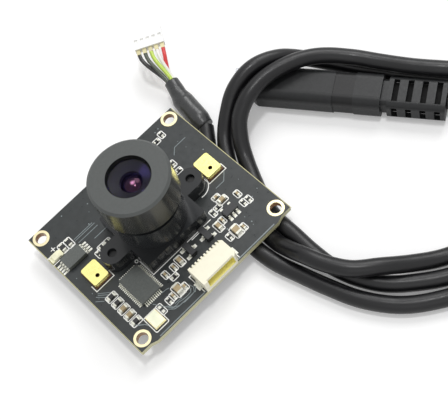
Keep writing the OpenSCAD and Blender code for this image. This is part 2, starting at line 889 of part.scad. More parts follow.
module cable_socket() {
    x = socket_w / 2;
    bevel = 0.6;
    notches = 10;
    notch_w = 0.35;
    notch_pitch = (socket_w - 1.6) / (notches - 1);
    lip = 0.4;
    color([0.93, 0.9, 0.74])
        at_socket()
            difference() {
                linear_extrude(socket_h)
                    polygon([[-x, 0], [x - bevel, 0], [x, bevel], [x, socket_l - bevel],
                        [x - bevel, socket_l], [-x, socket_l]]);
                translate([0, mouth_l / 2 - cut / 2, socket_floor])
                    block(mouth_w, mouth_l + cut, mouth_h);
                translate([0, lip / 2 - cut / 2, socket_floor + mouth_h - 0.01])
                    block(mouth_w, lip + cut, socket_h);
                for (i = [0:notches - 1])
                    translate([(i - (notches - 1) / 2) * notch_pitch, socket_l, socket_h - 0.6])
                        block(notch_w, 1, 0.6 + cut);
                at_ways()
                    contact(0.03);
            }
}

module socket_contacts() {
    color([0.85, 0.75, 0.4])
        at_socket()
            at_ways()
                contact(0);
}

module socket_tabs() {
    tab_t = 0.2;
    tab_l = 1.6;
    color([0.8, 0.8, 0.78])
        at_socket()
            for (side = [-1, 1])
                translate([side * socket_w / 2, socket_l / 2, 0])
                    mirror([side < 0 ? 1 : 0, 0, 0]) {
                        translate([0, -tab_l / 2, 0])
                            cube([0.7, tab_l, tab_t]);
                        translate([0, -tab_l / 2, 0])
                            cube([tab_t, tab_l, 0.9]);
                    }
}

// ---------- lead ----------

module usb_cable() {
    color([0.1, 0.1, 0.1])
        tube(ROUTE, [for (p = ROUTE) cable_d / 2], 8);
}

module heat_shrink_sleeve() {
    color([0.13, 0.13, 0.13])
        tube(SLEEVE, [for (s = SLEEVE_SHARE) s * sleeve_d / 2], 12);
}

// point of a smooth curve from a to d that leaves a towards b and reaches d from c
function curve(a, b, c, d, t) =
    (1 - t) ^ 3 * a + 3 * (1 - t) ^ 2 * t * b + 3 * (1 - t) * t ^ 2 * c + t ^ 3 * d;

// wire number i of five, from the sleeve to its crimp
module wire(i) {
    n = len(SLEEVE) - 1;
    out = unit(SLEEVE[n] - SLEEVE[n - 1]);
    side = unit(cross(out, [0, 0, 1]));
    up = cross(side, out);
    spread = wire_d * 0.9;
    turn = 180 - 72 * i + 36;
    start = SLEEVE[n] + 0.05 * out + spread * (cos(turn) * side + sin(turn) * up);
    across = [cos(housing_turn), sin(housing_turn), 0];
    ahead = [-sin(housing_turn), cos(housing_turn), 0];
    end = housing_back - crimp_l * ahead + (i - 2) * way_pitch * across;
    steps = 7;
    path = [for (k = [0:steps])
        curve(start, start + 2.6 * out, end - 2.6 * ahead, end, k / steps)];
    tube(path, [for (p = path) wire_d / 2], 8);
}

module wire_black() {
    color([0.08, 0.08, 0.08])
        wire(0);
}

module wire_grey() {
    color([0.25, 0.27, 0.25])
        wire(1);
}

module wire_green() {
    color([0.65, 0.8, 0.2])
        wire(2);
}

module wire_white() {
    color([0.95, 0.95, 0.93])
        wire(3);
}

module wire_red() {
    color([0.8, 0.15, 0.15])
        wire(4);
}

module at_housing() {
    translate(housing_back)
        rotate([0, 0, housing_turn])
            children();
}

module crimp_terminals() {
    color([0.85, 0.8, 0.6])
        at_housing()
            at_ways()
                translate([0, -crimp_l / 2, -crimp_w / 2])
                    block(crimp_w, crimp_l, crimp_w);
}

module wire_plug() {
    color([0.95, 0.95, 0.92])
        at_housing()
            translate([0, housing_l / 2, -housing_t / 2])
                difference() {
                    block(housing_w, housing_l, housing_t);
                    at_ways() {
                        translate([0, housing_l / 2, housing_t / 2 - 0.3])
                            block(0.6, 3, 0.6);
                        translate([0, -housing_l * 0.1, housing_t - 0.4])
                            block(0.7, 1.1, cut);
                    }
                }
}

// ---------- usb plug, along X from its nose ----------

module at_plug(x) {
    translate(plug_nose)
        rotate([0, 0, plug_turn])
            translate([x, 0, 0])
                rotate([90, 0, 90])
                    children();
}

module plug_section(x, l, inset) {
    at_plug(x)
        linear_extrude(l)
            round_rect(plug_w - 2 * inset, plug_t - 2 * inset, plug_r - inset);
}

module usb_plug() {
    relief_x = plug_l + neck_l;
    relief_z = plug_tail[2] - plug_z;
    first_slot = (relief_l - (relief_slots - 1) * relief_pitch - relief_slot_l) / 2;
    color([0.16, 0.16, 0.17]) {
        hull() {
            plug_section(0, 0.05, 0.5, $fn = round_fn);
            plug_section(nose_l, 0.05, 0, $fn = round_fn);
        }
        plug_section(nose_l, grip_x - nose_l, 0);
        plug_section(grip_x, grip_l, grip_depth);
        plug_section(grip_x + grip_l, plug_l - grip_x - grip_l, 0);
        at_plug(plug_l)
            translate([0, relief_z, 0])
                linear_extrude(neck_l + 0.2)
                    round_rect(relief_w - 1.2, relief_t - 1, 1);
        difference() {
            at_plug(relief_x)
                translate([0, relief_z, 0])
                    linear_extrude(relief_l)
                        round_rect(relief_w, relief_t, 1.4);
            for (i = [0:relief_slots - 1], side = [-1, 1])
                at_plug(relief_x + first_slot + i * relief_pitch)
                    translate([0, relief_z, relief_slot_l / 2]) {
                        translate([side * relief_w / 2, 0, 0])
                            cube([2 * relief_slot_depth, relief_t - 2 * relief_rib, relief_slot_l], center = true);
                        translate([0, side * relief_t / 2, 0])
                            cube([relief_w - 2 * relief_rib, 2 * relief_slot_depth, relief_slot_l], center = true);
                    }
        }
    }
}

module usb_shell() {
    color([0.8, 0.8, 0.82])
        at_plug(-shell_l)
            difference() {
                linear_extrude(shell_l)
                    round_rect(shell_w, shell_t, 0.5);
                translate([0, 0, -cut])
                    linear_extrude(shell_l + 2 * cut)
                        round_rect(shell_w - 2 * shell_wall, shell_t - 2 * shell_wall, 0.3);
            }
}

module usb_insert() {
    w = shell_w - 2 * shell_wall - 0.4;
    color([0.1, 0.1, 0.1])
        at_plug(-shell_l + 0.5)
            translate([0, -shell_t / 2 + shell_wall + insert_t / 2 + 0.02, (shell_l - 0.5) / 2])
                cube([w, insert_t, shell_l - 0.5], center = true);
}

module usb_contacts() {
    contact_h = 0.12;
    y = -shell_t / 2 + shell_wall + insert_t + contact_h / 2 + 0.02;
    color([0.9, 0.78, 0.4])
        at_plug(-shell_l + 0.8)
            for (i = [0:usb_ways - 1])
                translate([(i - (usb_ways - 1) / 2) * usb_pitch, y, (shell_l - 0.8) / 2])
                    cube([0.3, contact_h, shell_l - 0.8], center = true);
}

circuit_board();
mounting_rings();
lens_holder();
holder_screws();
ir_filter();
lens_barrel();
front_lens();
aperture_stop();
middle_lens();
lens_spacer();
rear_lens();
lens_retaining_ring();
sensor_package();
sensor_die();
sensor_glass();
microphone_bases();
microphone_cans();
processor();
processor_leads();
flash_memory();
flash_leads();
crystal_base();
crystal_lid();
regulator();
regulator_leads();
transistors();
transistor_leads();
capacitors();
resistors();
chip_ends();
status_led();
cable_socket();
socket_contacts();
socket_tabs();
usb_cable();
heat_shrink_sleeve();
wire_black();
wire_grey();
wire_green();
wire_white();
wire_red();
crimp_terminals();
wire_plug();
usb_plug();
usb_shell();
usb_insert();
usb_contacts();
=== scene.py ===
"""Looks of a board-level camera: view and cable, finishes, small parts, then floor and light."""

import json
import math
import random

import bmesh
import bpy
from mathutils import Matrix, Vector


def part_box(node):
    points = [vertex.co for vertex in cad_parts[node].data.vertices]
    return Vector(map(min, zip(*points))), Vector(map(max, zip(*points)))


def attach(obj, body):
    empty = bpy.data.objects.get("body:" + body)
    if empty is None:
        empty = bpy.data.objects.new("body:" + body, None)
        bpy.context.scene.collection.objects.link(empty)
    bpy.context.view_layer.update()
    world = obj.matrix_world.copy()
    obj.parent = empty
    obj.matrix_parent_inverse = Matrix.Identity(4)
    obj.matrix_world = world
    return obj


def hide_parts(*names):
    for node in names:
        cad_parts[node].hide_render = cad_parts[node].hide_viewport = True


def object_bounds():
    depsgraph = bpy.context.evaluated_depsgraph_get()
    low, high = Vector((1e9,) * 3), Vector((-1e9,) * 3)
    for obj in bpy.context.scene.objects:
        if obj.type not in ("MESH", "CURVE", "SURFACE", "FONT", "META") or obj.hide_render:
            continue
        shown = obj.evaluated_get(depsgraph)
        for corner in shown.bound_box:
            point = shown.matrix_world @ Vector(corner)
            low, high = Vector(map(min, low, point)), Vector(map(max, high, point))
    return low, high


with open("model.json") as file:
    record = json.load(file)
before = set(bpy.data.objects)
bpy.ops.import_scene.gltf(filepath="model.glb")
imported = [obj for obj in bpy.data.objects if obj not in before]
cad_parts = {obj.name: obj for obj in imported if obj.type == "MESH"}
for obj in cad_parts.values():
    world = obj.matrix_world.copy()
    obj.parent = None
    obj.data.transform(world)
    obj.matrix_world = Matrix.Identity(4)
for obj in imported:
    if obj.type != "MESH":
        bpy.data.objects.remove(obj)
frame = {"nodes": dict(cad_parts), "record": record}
CAD_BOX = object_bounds()
NODES = frame["nodes"]
MM = 0.001
UP = Vector((0, 0, 1))


def mm(*values):
    return Vector(values) * MM


# ---------- camera ----------

CAMERA_AT = mm(-25.9, -99.77, 179.73)
CAMERA_YAW = 21.55  # degrees from +Y towards +X
CAMERA_PITCH = 61.035  # degrees below the horizon
CAMERA_ROLL = 25.0  # degrees
CAMERA_LENS = 88.31
SENSOR_W = 36


def make_camera():
    yaw, pitch, roll = (math.radians(a) for a in (CAMERA_YAW, CAMERA_PITCH, CAMERA_ROLL))
    ahead = Vector((math.sin(yaw) * math.cos(pitch), math.cos(yaw) * math.cos(pitch), -math.sin(pitch)))
    level = ahead.cross(UP).normalized()
    upright = level.cross(ahead)
    side = level * math.cos(roll) - upright * math.sin(roll)
    top = side.cross(ahead)
    data = bpy.data.cameras.new("camera")
    data.sensor_width = SENSOR_W
    data.lens = CAMERA_LENS
    data.clip_start = 0.01
    data.clip_end = 20
    camera = bpy.data.objects.new("camera", data)
    bpy.context.scene.collection.objects.link(camera)
    axes = Matrix((side, top, -ahead)).transposed()
    camera.matrix_world = Matrix.Translation(CAMERA_AT) @ axes.to_4x4()
    bpy.context.scene.camera = camera


# ---------- cable ----------

CABLE_D = 3.2
LYING_Z = -1.9  # middle of a strand that lies on the surface
REST_Z = LYING_Z - CABLE_D / 2  # the surface itself

# middle of the cable, from the sleeve to the plug
ROUTE = [
    (21.2, 9.5, -1.6), (17.8, 5.1, -1.9), (14.6, 0.4, -1.9), (12.1, -4.8, -1.9),
    (10.1, -10.4, -1.9), (9.5, -16.4, -1.9), (9.9, -21.5, -1.9), (11.2, -26.5, -1.9),
    (12.7, -31.8, -1.9), (15, -38.1, -1.9), (18.9, -44, -1.9), (24.4, -48.5, -1.9),
    (30.6, -51.8, -1.9), (37.6, -53.8, -1.9), (44.8, -53.4, -1.9), (51.6, -50.6, -1.9),
    (57.4, -45.8, -1.9), (61.8, -39.8, -1.9), (64, -34, -1.9), (64.3, -28.9, -0.7),
    (62.7, -24.1, 1), (58.6, -19.2, 1.7), (55.2, -14, 1.7), (52.4, -8.8, 1.6),
    (49.4, -3.6, 2), (45.4, 0.8, 3.1), (40.8, 3.4, 4), (35, 5, 4.3),
    (30, 4.9, 3.8), (26.1, 3.8, 2), (23.4, 1.4, 0), (21.4, -1.7, -1.6),
    (19.3, -6, -1.9), (17.4, -10.5, -1.9), (16.3, -15, -1.9), (16.1, -20, -1.9),
    (15.9, -25, -1.9), (16.2, -30, -1.9), (17.6, -34.8, -1.9), (20, -39.2, -1.9),
    (23.9, -43.2, -1.9), (28.7, -46.8, -1.9), (34.5, -49.3, -1.9), (41, -49.8, -1.9),
    (47.5, -47.9, -1.9), (53.1, -43.9, -1.9), (57.4, -39, -1.9), (60.1, -33.6, -1.9),
    (61, -28.2, -1.9), (60.7, -23.2, -1.9), (58.5, -19, -1.9), (54.8, -13, -1.9),
    (51.2, -6.6, -1.9), (47.4, 0.6, -1.4), (44.3, 4.4, 0.2), (40.1, 7, 3.1),
    (34.8, 8.6, 4.3), (29.6, 8.5, 3.2), (25.6, 7.1, 0.8), (22, 4.7, -1.3),
    (19.1, 1.1, -1.9), (16.8, -3.4, -1.9), (14.7, -8, -1.9), (13.2, -12.7, -1.9),
    (12.9, -18, -1.9), (13, -21.5, -0.4), (13.6, -25.5, 1.3), (15, -30, 1.6),
    (17.3, -34, 1.5), (21, -37.1, 0.9), (25.4, -40.3, -0.6), (30.3, -43.4, -1.8),
    (35.5, -45.7, -1.9), (41.5, -46, -1.9), (47, -43.9, -1.9), (52, -39.8, -1.9),
    (55.6, -35.1, -1.9), (57.3, -30, -1.5), (56.6, -26.2, -1.1), (54.7, -23.2, -0.8)]

SLEEVE_D = 4.4
# middle of the sleeve over the cable's end, and the share of its full radius at each point
SLEEVE = [
    (21.25, 9.7, -1.55), (21.5, 11.6, -1.2), (21.9, 14.4, -1.15), (22.3, 17.4, -0.8),
    (22.6, 18.6, -0.4), (23, 20, 0), (23.4, 21.5, 0.3)]
SLEEVE_SHARE = [0.82, 1, 1, 0.98, 0.78, 0.74, 0.7]

WIRE_D = 0.8
WAY_PITCH = 1.25
CRIMP_L = 1.2
HOUSING_BACK = Vector((25.5, 29.4, 3))  # middle of the wire plug's back
HOUSING_TURN = -30  # degrees
WIRES = ["wire_black", "wire_grey", "wire_green", "wire_white", "wire_red"]

# USB plug, set against the end of the route: places and lengths along it, from its nose
PLUG_TURN = math.radians(-56.5)
PLUG_AHEAD = Vector((math.cos(PLUG_TURN), math.sin(PLUG_TURN), 0))
RELIEF_X = 26.2
RELIEF_L = 11
GRIP_X = 15.8
GRIP_L = 4


def plug_point(x):
    """Point on the plug's middle line, x from its nose."""
    return Vector(ROUTE[-1]) + (x - RELIEF_X - RELIEF_L - 0.1) * PLUG_AHEAD


def add_piece(name, data):
    """An object with the given data that rides on the part's one body."""
    piece = bpy.data.objects.new(name, data)
    bpy.context.scene.collection.objects.link(piece)
    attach(piece, "root")
    return piece


def curve_piece(name, sides=4):
    """An empty round curve object."""
    data = bpy.data.curves.new(name, "CURVE")
    data.dimensions = "3D"
    data.resolution_u = 8
    data.bevel_depth = 1  # each point's radius carries the thickness
    data.bevel_resolution = sides
    data.use_fill_caps = True
    return add_piece(name, data)


def round_cable():
    piece = curve_piece("cable", sides=6)
    spline = piece.data.splines.new("BEZIER")
    spline.bezier_points.add(len(ROUTE) - 1)
    places = [Vector(p) for p in ROUTE]
    for point, before, place, after in zip(
            spline.bezier_points, [places[0]] + places, places, places[1:] + [places[-1]]):
        heading = (after - before).normalized()
        if place.z == min(p.z for p in places):
            heading.z = 0  # it lies on the surface and doesn't dip into it
        point.handle_left_type = point.handle_right_type = "FREE"
        point.co = place * MM
        point.handle_left = (place - heading * (place - before).length / 3) * MM
        point.handle_right = (place + heading * (after - place).length / 3) * MM
        point.radius = CABLE_D / 2 * MM
    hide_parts("usb_cable")
    return piece


def single_wire(index):
    """One insulated wire on a smooth curve from the sleeve to its crimp."""
    name = WIRES[index]
    end_point = Vector(SLEEVE[-1])
    out = (end_point - Vector(SLEEVE[-2])).normalized()
    side = out.cross(UP).normalized()
    top = side.cross(out)
    turn = math.radians(216 - 72 * index)
    spread = WIRE_D * 0.9
    start = end_point + 0.05 * out + spread * (math.cos(turn) * side + math.sin(turn) * top)
    angle = math.radians(HOUSING_TURN)
    across = Vector((math.cos(angle), math.sin(angle), 0))
    ahead = Vector((-math.sin(angle), math.cos(angle), 0))
    end = HOUSING_BACK - CRIMP_L * ahead + (index - 2) * WAY_PITCH * across
    piece = curve_piece(name + "_insulation")
    spline = piece.data.splines.new("BEZIER")
    spline.bezier_points.add(1)
    pull = 2.6  # how far the curve holds its heading at each end
    for point, place, heading in zip(spline.bezier_points, (start, end), (out, ahead)):
        point.handle_left_type = point.handle_right_type = "FREE"
        point.co = place * MM
        point.radius = WIRE_D / 2 * MM
        point.handle_left = (place - pull * heading) * MM
        point.handle_right = (place + pull * heading) * MM
    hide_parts(name)
    return piece


def sleeve_skin():
    """Shrunk tubing: a smooth tube of changing radius with faint wrinkles where it narrows."""
    rings = []
    sides = 32
    steps = 6  # rings between two points of the route
    depth = 0.02  # of a wrinkle, as a share of the radius
    places = [Vector(p) for p in SLEEVE]
    draw = random.Random(4)
    lumps = [draw.uniform(-1, 1) for _ in places[1:]]
    for i in range(len(places) - 1):
        for k in range(steps + (i == len(places) - 2)):
            t = k / steps
            place = places[i].lerp(places[i + 1], t)
            heading = (places[i + 1] - places[i]).normalized()
            radius = SLEEVE_D / 2 * (SLEEVE_SHARE[i] * (1 - t) + SLEEVE_SHARE[i + 1] * t)
            side = heading.cross(UP).normalized()
            top = side.cross(heading)
            ring = []
            for s in range(sides):
                angle = 2 * math.pi * s / sides
                ripple = depth * math.sin(3 * angle + lumps[i]) * math.sin(2.2 * (i + t) + lumps[i])
                r = radius * (1 - depth + ripple)
                ring.append(place + r * (math.cos(angle) * side + math.sin(angle) * top))
            rings.append(ring)
    mesh = bpy.data.meshes.new("sleeve_skin")
    points = [p * MM for ring in rings for p in ring]
    faces = []
    for i in range(len(rings) - 1):
        for s in range(sides):
            a = i * sides + s
            b = i * sides + (s + 1) % sides
            faces.append((a, b, b + sides, a + sides))
    faces.append(tuple(range(sides))[::-1])
    faces.append(tuple((len(rings) - 1) * sides + s for s in range(sides)))
    mesh.from_pydata(points, [], faces)
    mesh.polygons.foreach_set("use_smooth", [len(p.vertices) == 4 for p in mesh.polygons])
    piece = add_piece("sleeve_skin", mesh)
    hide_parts("heat_shrink_sleeve")
    return piece


make_camera()
cable = round_cable()
wires = [single_wire(i) for i in range(len(WIRES))]
sleeve = sleeve_skin()


# ---------- helpers for small pieces ----------


def islands(node):
    """Lowest and highest corner of each solid in a CAD node."""
    bm = bmesh.new()
    bm.from_mesh(NODES[node].data)
    bmesh.ops.remove_doubles(bm, verts=bm.verts, dist=1e-7)
    seen = set()
    boxes = []
    for first in bm.verts:
        if first in seen:
            continue
        group, todo = [], [first]
        seen.add(first)
        while todo:
            v = todo.pop()
            group.append(v.co.copy())
            for e in v.link_edges:
                w = e.other_vert(v)
                if w not in seen:
                    seen.add(w)
                    todo.append(w)
        lo = Vector([min(c[k] for c in group) for k in range(3)])
        hi = Vector([max(c[k] for c in group) for k in range(3)])
        boxes.append((lo, hi))
    bm.free()
    return boxes


LIFT = 0.0004  # how much higher each printed strip stands than the one before


class Flat:
    """Collects flat strips, plates and prisms in millimetres and turns them into one piece."""

    def __init__(self):
        self.points = []
        self.faces = []
        self.lift = 0.0

    def prism(self, outline, low, high):
        """Closed prism over an outline of (x, y) points in anticlockwise order."""
        n = len(outline)
        at = len(self.points)
        self.points += [(x, y, low) for x, y in outline] + [(x, y, high) for x, y in outline]
        self.faces.append(tuple(at + i for i in range(n))[::-1])
        self.faces.append(tuple(at + n + i for i in range(n)))
        for i in range(n):
            j = (i + 1) % n
            self.faces.append((at + i, at + j, at + n + j, at + n + i))

    def plate(self, lo, hi, low, high):
        self.prism([(lo[0], lo[1]), (hi[0], lo[1]), (hi[0], hi[1]), (lo[0], hi[1])], low, high)

    def line(self, path, width, low, high, closed=False):
        """One strip of the given width along a path, with mitred bends.

        Each strip stands LIFT higher than the one before, so that none share a plane where they cross.
        """
        high += self.lift
        self.lift += LIFT
        path = [Vector(p[:2]) for p in path]
        n, at = len(path), len(self.points)
        runs = [(b - a).normalized() for a, b in zip(path, path[1:] + path[:1])]
        for i, p in enumerate(path):
            before = runs[i - 1] if closed or i > 0 else runs[0]
            after = runs[i] if closed or i < n - 1 else before
            if not closed and i in (0, n - 1):
                p = p + (before if i else -before) * width / 2
            way = (before + after).normalized()
            off = Vector((-way.y, way.x)) * width / 2 / max(way.dot(after), 0.5)
            for z in (low, high):
                self.points += [(p.x + off.x, p.y + off.y, z), (p.x - off.x, p.y - off.y, z)]
        for i in range(n if closed else n - 1):
            a, b = at + 4 * i, at + 4 * ((i + 1) % n)
            self.faces += [(a + 3, b + 3, b + 2, a + 2), (a, b, b + 1, a + 1),
                           (a + 1, b + 1, b + 3, a + 3), (b, a, a + 2, b + 2)]
        if not closed:
            b = at + 4 * (n - 1)
            self.faces += [(at, at + 1, at + 3, at + 2), (b + 1, b, b + 2, b + 3)]

    def arc(self, centre, radius, start, end, width, low, high):
        """Part of a ring, from one angle to another in degrees."""
        steps = 24
        path = []
        full = end - start == 360
        for k in range(steps if full else steps + 1):
            a = math.radians(start + (end - start) * k / steps)
            path.append((centre[0] + radius * math.cos(a), centre[1] + radius * math.sin(a)))
        self.line(path, width, low, high, closed=full)

    def piece(self, name, slot, material):
        mesh = bpy.data.meshes.new(name)
        mesh.from_pydata([tuple(c * MM for c in p) for p in self.points], [], self.faces)
        mesh.materials.append(material)
        piece = add_piece(name, mesh)


# ---------- materials ----------

MATHS = "ShaderNodeMath"
VECTOR_MATHS = "ShaderNodeVectorMath"
MIX_A, MIX_B, MIX_RESULT = 6, 7, 2  # a mix node's sockets for colours


def calculate(tree, kind, operation, *values):
    """A node that calculates; each value is a number, a vector or another node's output."""
    made = tree.nodes.new(kind)
    made.operation = operation
    for socket, value in zip(made.inputs, values):
        if isinstance(value, bpy.types.NodeSocket):
            tree.links.new(value, socket)
        else:
            socket.default_value = value
    return made


def linear(r, g, b):
    """Colour as written on screen, 0 to 255, to shader values."""
    values = (c / 255 / 12.92 if c <= 10 else ((c / 255 + 0.055) / 1.055) ** 2.4 for c in (r, g, b))
    return (*values, 1)


class Finish:
    """A node material in object space: a colour that varies, a roughness that varies and a fine relief."""

    def __init__(self, name, colour, rough, metal=0.0):
        self.material = bpy.data.materials.new(name)
        self.material.use_nodes = True
        self.tree = self.material.node_tree
        self.shader = self.tree.nodes["Principled BSDF"]
        self.shader.inputs["Base Color"].default_value = colour
        self.shader.inputs["Roughness"].default_value = rough
        self.shader.inputs["Metallic"].default_value = metal
        self.colour = colour
        self.rough = rough
        self.place = self.tree.nodes.new("ShaderNodeTexCoord").outputs["Object"]

    def node(self, kind, **inputs):
        made = self.tree.nodes.new(kind)
        for key, value in inputs.items():
            made.inputs[key.replace("_", " ")].default_value = value
        return made

    def link(self, a, b):
        self.tree.links.new(a, b)

    def noise(self, size, detail=3.0):
        """Noise whose features are about size millimetres across."""
        made = self.node("ShaderNodeTexNoise", Scale=1 / (size * MM), Detail=detail)
        self.link(self.place, made.inputs["Vector"])
        return made.outputs["Fac"]

    def mix(self, factor, a, b):
        made = self.tree.nodes.new("ShaderNodeMix")
        made.data_type = "RGBA"
        for socket, value in ((MIX_A, a), (MIX_B, b)):
            if isinstance(value, tuple):
                made.inputs[socket].default_value = value
            else:
                self.link(value, made.inputs[socket])
        self.link(factor, made.inputs[0])
        return made.outputs[MIX_RESULT]

    def span(self, value, low, high, to_low, to_high):
        made = self.node("ShaderNodeMapRange")
        for key, number in (("From Min", low), ("From Max", high), ("To Min", to_low), ("To Max", to_high)):
            made.inputs[key].default_value = number
        self.link(value, made.inputs["Value"])
        return made.outputs["Result"]

    def within(self, middle, half):
        """1 inside a box given by its middle and half its size, else 0."""
        away = calculate(self.tree, VECTOR_MATHS, "SUBTRACT", self.place, middle)
        share = calculate(self.tree, VECTOR_MATHS, "DIVIDE", away.outputs[0], half)
        size = calculate(self.tree, VECTOR_MATHS, "ABSOLUTE", share.outputs[0])
        parts = self.tree.nodes.new("ShaderNodeSeparateXYZ")
        self.link(size.outputs[0], parts.inputs[0])
        most = calculate(self.tree, MATHS, "MAXIMUM", parts.outputs["X"], parts.outputs["Y"])
        most = calculate(self.tree, MATHS, "MAXIMUM", most.outputs[0], parts.outputs["Z"])
        return calculate(self.tree, MATHS, "LESS_THAN", most.outputs[0], 1.0).outputs[0]

    def mottle(self, size, other):
        """The colour drifts towards another one in patches."""
        factor = self.span(self.noise(size), 0.35, 0.65, 0.0, 1.0)
        self.base = self.mix(factor, self.colour, other)
        self.link(self.base, self.shader.inputs["Base Color"])
        return self

    def wear(self, size, amount):
        """The roughness drifts up and down by an amount."""
        self.link(
            self.span(self.noise(size, 5.0), 0.3, 0.7, self.rough - amount, self.rough + amount),
            self.shader.inputs["Roughness"])
        return self

    def relief(self, size, height):
        """Fine bumps of the given size and height in millimetres."""
        bump = self.node("ShaderNodeBump", Distance=height * MM, Strength=1.0)
        self.link(self.noise(size), bump.inputs["Height"])
        self.link(bump.outputs["Normal"], self.shader.inputs["Normal"])
        return self

    def level(self, low, high):
        """1 where the surface lies flat, 0 where it stands upright, from the tilts low to high."""
        parts = self.tree.nodes.new("ShaderNodeSeparateXYZ")
        self.link(self.tree.nodes.new("ShaderNodeNewGeometry").outputs["True Normal"], parts.inputs[0])
        tilt = calculate(self.tree, MATHS, "ABSOLUTE", parts.outputs["Z"])
        return self.span(tilt.outputs[0], low, high, 0.0, 1.0)

    def set(self, **inputs):
        """Gives the shader's own inputs their values."""
        for key, value in inputs.items():
            self.shader.inputs[key.replace("_", " ")].default_value = value
        return self


def shade(colour, by):
    return tuple(c * by for c in colour[:3]) + (1,)


def plain(name, rgb, rough, metal=0.0, size=0.4, depth=0.004, drift=0.82, wear=0.06):
    """Moulded, plated or fired surface with slight drift in colour, gloss and relief."""
    colour = linear(*rgb)
    made = Finish(name, colour, rough, metal)
    return made.mottle(size * 4, shade(colour, drift)).wear(size * 2, wear).relief(size, depth)


def board_finish():
    """Charcoal solder mask on top and below, pale glass fibre at the edges, copper in the mounting holes."""
    hole_reach = Vector((1.3, 1.3, 1.4)) * MM
    mask = linear(45, 49, 50)
    made = Finish("solder_mask", mask, 0.34)
    made.mottle(3.0, linear(38, 42, 42)).wear(1.2, 0.08).relief(0.5, 0.002)
    edge = made.mix(made.noise(0.15, 4.0), linear(222, 218, 178), linear(178, 174, 132))
    for lo, hi in islands("mounting_rings"):
        edge = made.mix(made.within((lo + hi) / 2, hole_reach), edge, linear(178, 142, 108))
    made.link(made.mix(made.level(0.4, 0.6), edge, made.base), made.shader.inputs["Base Color"])
    return made


def plug_finish():
    """Grained black vinyl, darker in a band across the plug."""
    made = plain("plug_vinyl", (32, 33, 34), 0.42, size=0.2, depth=0.005)
    made.set(Specular_IOR_Level=0.3)
    along = calculate(made.tree, VECTOR_MATHS, "DOT_PRODUCT", made.place, PLUG_AHEAD)
    middle = plug_point(GRIP_X + GRIP_L / 2).dot(PLUG_AHEAD) * MM
    # the band across the plug, darker in colour
    band = calculate(made.tree, MATHS, "COMPARE", along.outputs["Value"], middle, GRIP_L / 2 * MM)
    made.link(made.mix(band.outputs[0], made.base, linear(15, 15, 16)), made.shader.inputs["Base Color"])
    return made


def barrel_finish():
    """Painted light and shade on the lens: grey on its flat face, as if lit from above, and darker round its
    side, which is also smoother.
    """
    made = plain("lens_metal", (74, 77, 76), 0.5, size=0.12, depth=0.003, drift=0.9)
    # painted light: this mask makes the flat face lighter and the side darker
    flat = made.level(0.5, 0.65)
    made.link(made.mix(flat, linear(25, 26, 25), made.base), made.shader.inputs["Base Color"])
    made.link(made.span(flat, 0.0, 1.0, 0.26, 0.5), made.shader.inputs["Roughness"])
    return made


def glass_finish(name, tint, rough, alpha):
    """Clear glass whose coating gives a weak tinted mirror image and lets the rest through."""
    made = Finish(name, tint, rough, 1.0)
    made.mottle(3.0, shade(tint, 0.8))
    made.set(Alpha=alpha)
    return made


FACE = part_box("lens_barrel")[1].z / MM  # height of the lens's flat face
SMALL_LENS_Z = FACE - 2.05  # about the top of the small lens, at the foot of the cone


def painted_highlight_glass():
    """Near-black glass with a painted pink highlight near its middle, a metallic spot that stands in for a
    lamp's reflection, set where the real lens shows its highlight.
    """
    made = Finish("inner_glass", linear(5, 4, 8), 0.08)
    made.mottle(1.0, linear(14, 8, 12)).set(Specular_IOR_Level=0.28, Specular_Tint=linear(255, 175, 215))
    # painted highlight: a pink metallic spot round this point, in place of a lamp's reflection
    reach = calculate(made.tree, VECTOR_MATHS, "DISTANCE", made.place, mm(0.05, -0.25, SMALL_LENS_Z))
    painted_highlight = made.span(reach.outputs["Value"], 0.12 * MM, 0.52 * MM, 1.0, 0.0)
    made.link(made.mix(painted_highlight, made.base, linear(226, 158, 198)), made.shader.inputs["Base Color"])
    made.link(painted_highlight, made.shader.inputs["Metallic"])
    return made


def socket_finish():
    """Ivory nylon, with painted shade inside the mouth: a deeper yellow where light bounces round in it."""
    made = plain("socket_nylon", (253, 249, 226), 0.42, size=0.25, drift=0.97)
    lo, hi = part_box("cable_socket")
    # painted shade: the mouth's box, where the colour turns a deeper yellow
    mouth = (Vector(((lo.x + hi.x) / 2, lo.y + 1.7 * MM, lo.z + 1.8 * MM)), Vector((3.25, 1.75, 0.85)) * MM)
    made.link(
        made.mix(made.within(*mouth), made.base, linear(255, 246, 150)), made.shader.inputs["Base Color"])
    return made


